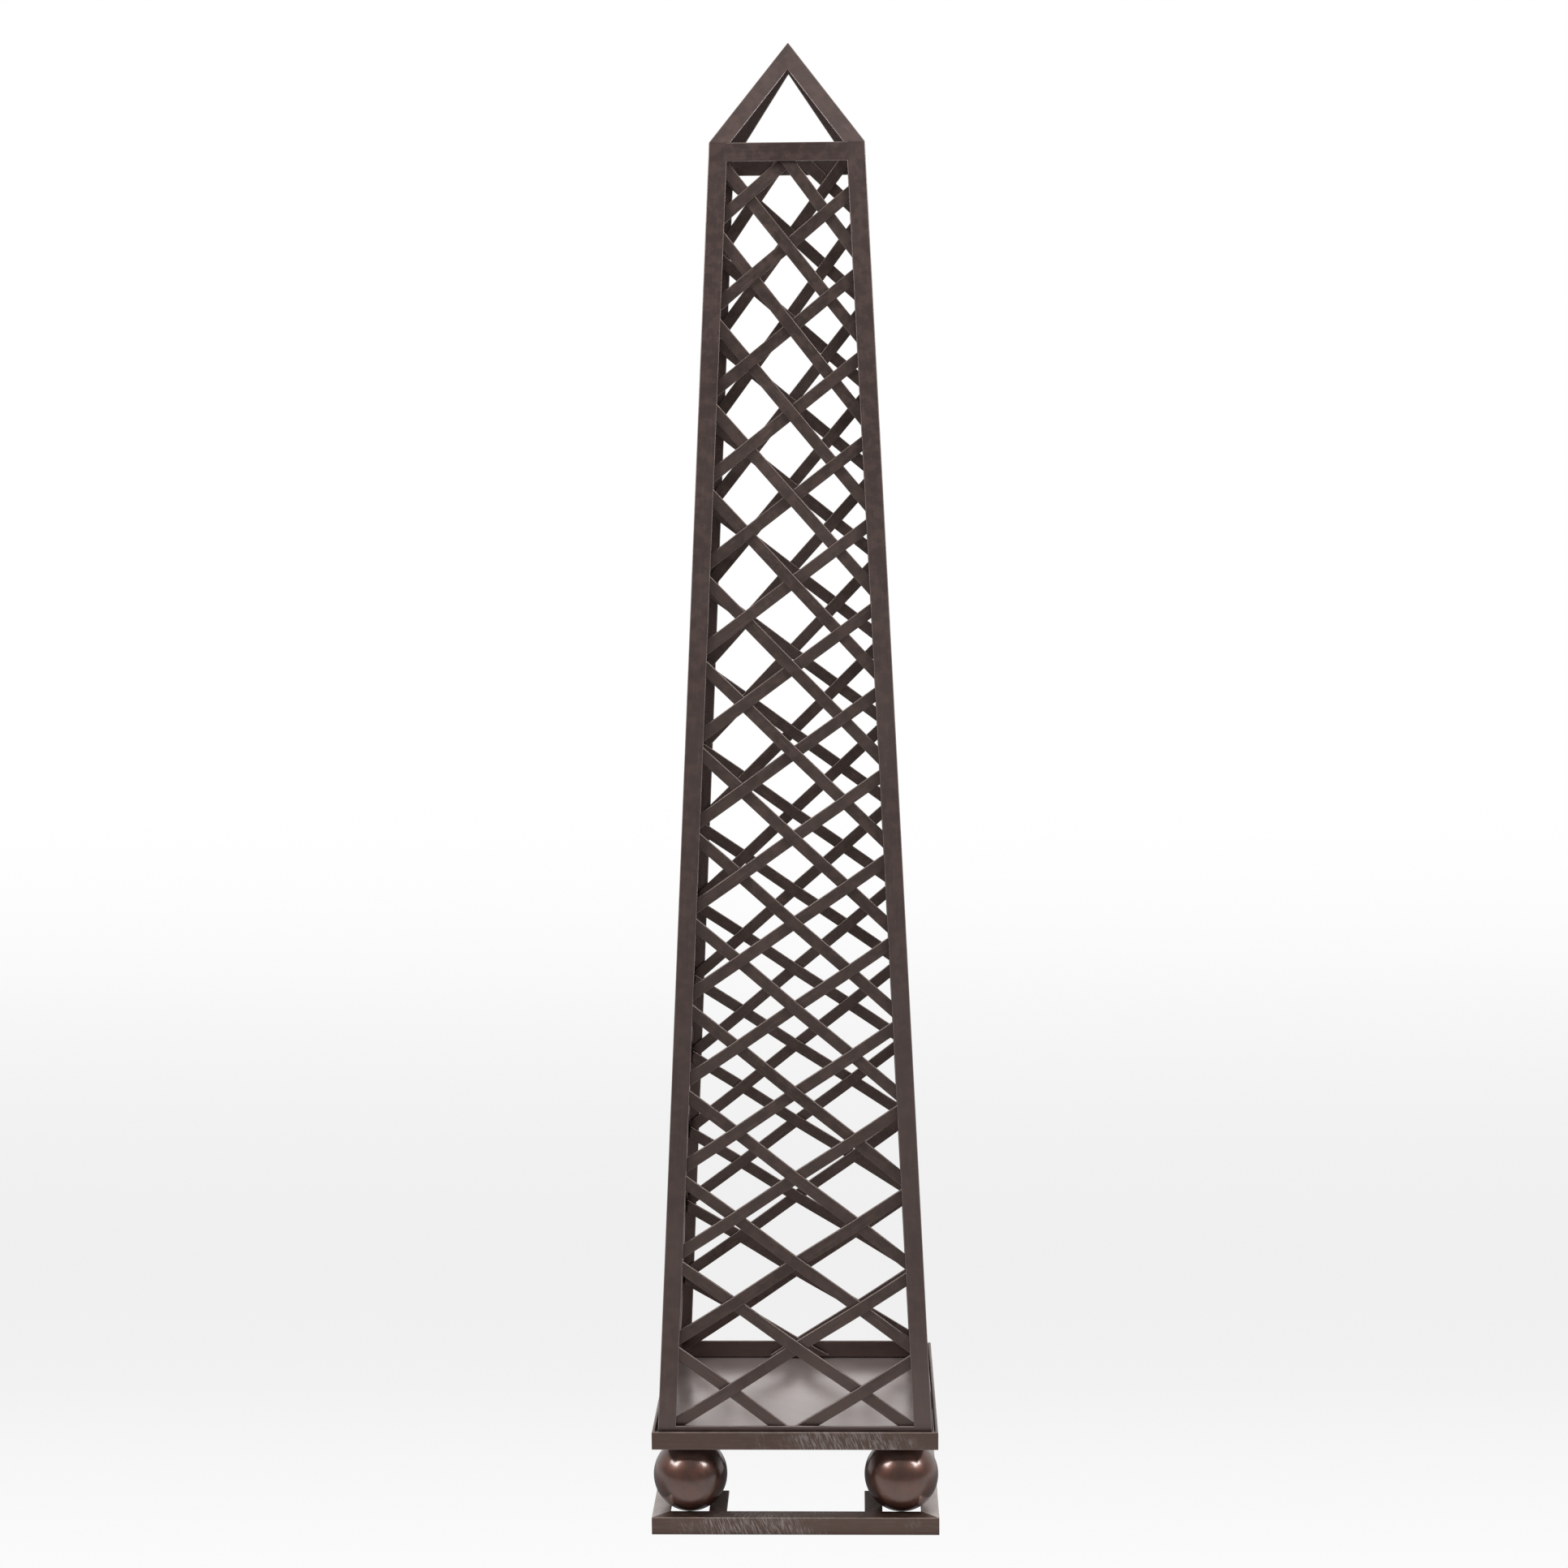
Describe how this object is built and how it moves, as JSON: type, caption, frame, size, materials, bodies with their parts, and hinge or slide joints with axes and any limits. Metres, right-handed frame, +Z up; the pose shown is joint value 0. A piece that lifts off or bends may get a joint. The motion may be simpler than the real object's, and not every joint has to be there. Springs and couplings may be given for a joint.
{
  "type": "garden obelisk",
  "caption": "Tapered square metal obelisk of woven flat strips between corner legs, with a pyramid tip, standing in a shallow tray on ball feet above a square plinth frame.",
  "frame": {"origin": "centre of the underside of the plinth", "axes": "+Z up through the tip, -Y out of the front face, +X to the right of someone facing the front"},
  "size_m": [0.305, 0.305, 1.5664],
  "materials": {
    "bar": "dark bronze-brown patina under a satin clear coat",
    "strip": "dark bronze-brown patina under a satin clear coat",
    "ball": "reddish brown patina, polished and clear coated",
    "plate": "dark bronze-brown patina, semi-gloss"
  },
  "bodies": {
    "root": {"plinth_rail_front": "bar", "tray_lip_front": "bar", "bottom_bar_front": "bar", "shoulder_bar_front": "bar", "lattice_front": "strip", "plinth_rail_right": "bar", "tray_lip_right": "bar", "bottom_bar_right": "bar", "shoulder_bar_right": "bar", "lattice_right": "strip", "plinth_rail_back": "bar", "tray_lip_back": "bar", "bottom_bar_back": "bar", "shoulder_bar_back": "bar", "lattice_back": "strip", "plinth_rail_left": "bar", "tray_lip_left": "bar", "bottom_bar_left": "bar", "shoulder_bar_left": "bar", "lattice_left": "strip", "seat_bar_across_front_left": "bar", "seat_bar_backwards_front_left": "bar", "leg_front_left": "bar", "hip_front_left": "bar", "ball_front_left": "ball", "seat_bar_across_front_right": "bar", "seat_bar_backwards_front_right": "bar", "leg_front_right": "bar", "hip_front_right": "bar", "ball_front_right": "ball", "seat_bar_across_back_right": "bar", "seat_bar_backwards_back_right": "bar", "leg_back_right": "bar", "hip_back_right": "bar", "ball_back_right": "ball", "seat_bar_across_back_left": "bar", "seat_bar_backwards_back_left": "bar", "leg_back_left": "bar", "hip_back_left": "bar", "ball_back_left": "ball", "tray_plate": "plate"}
  },
  "joints": []
}
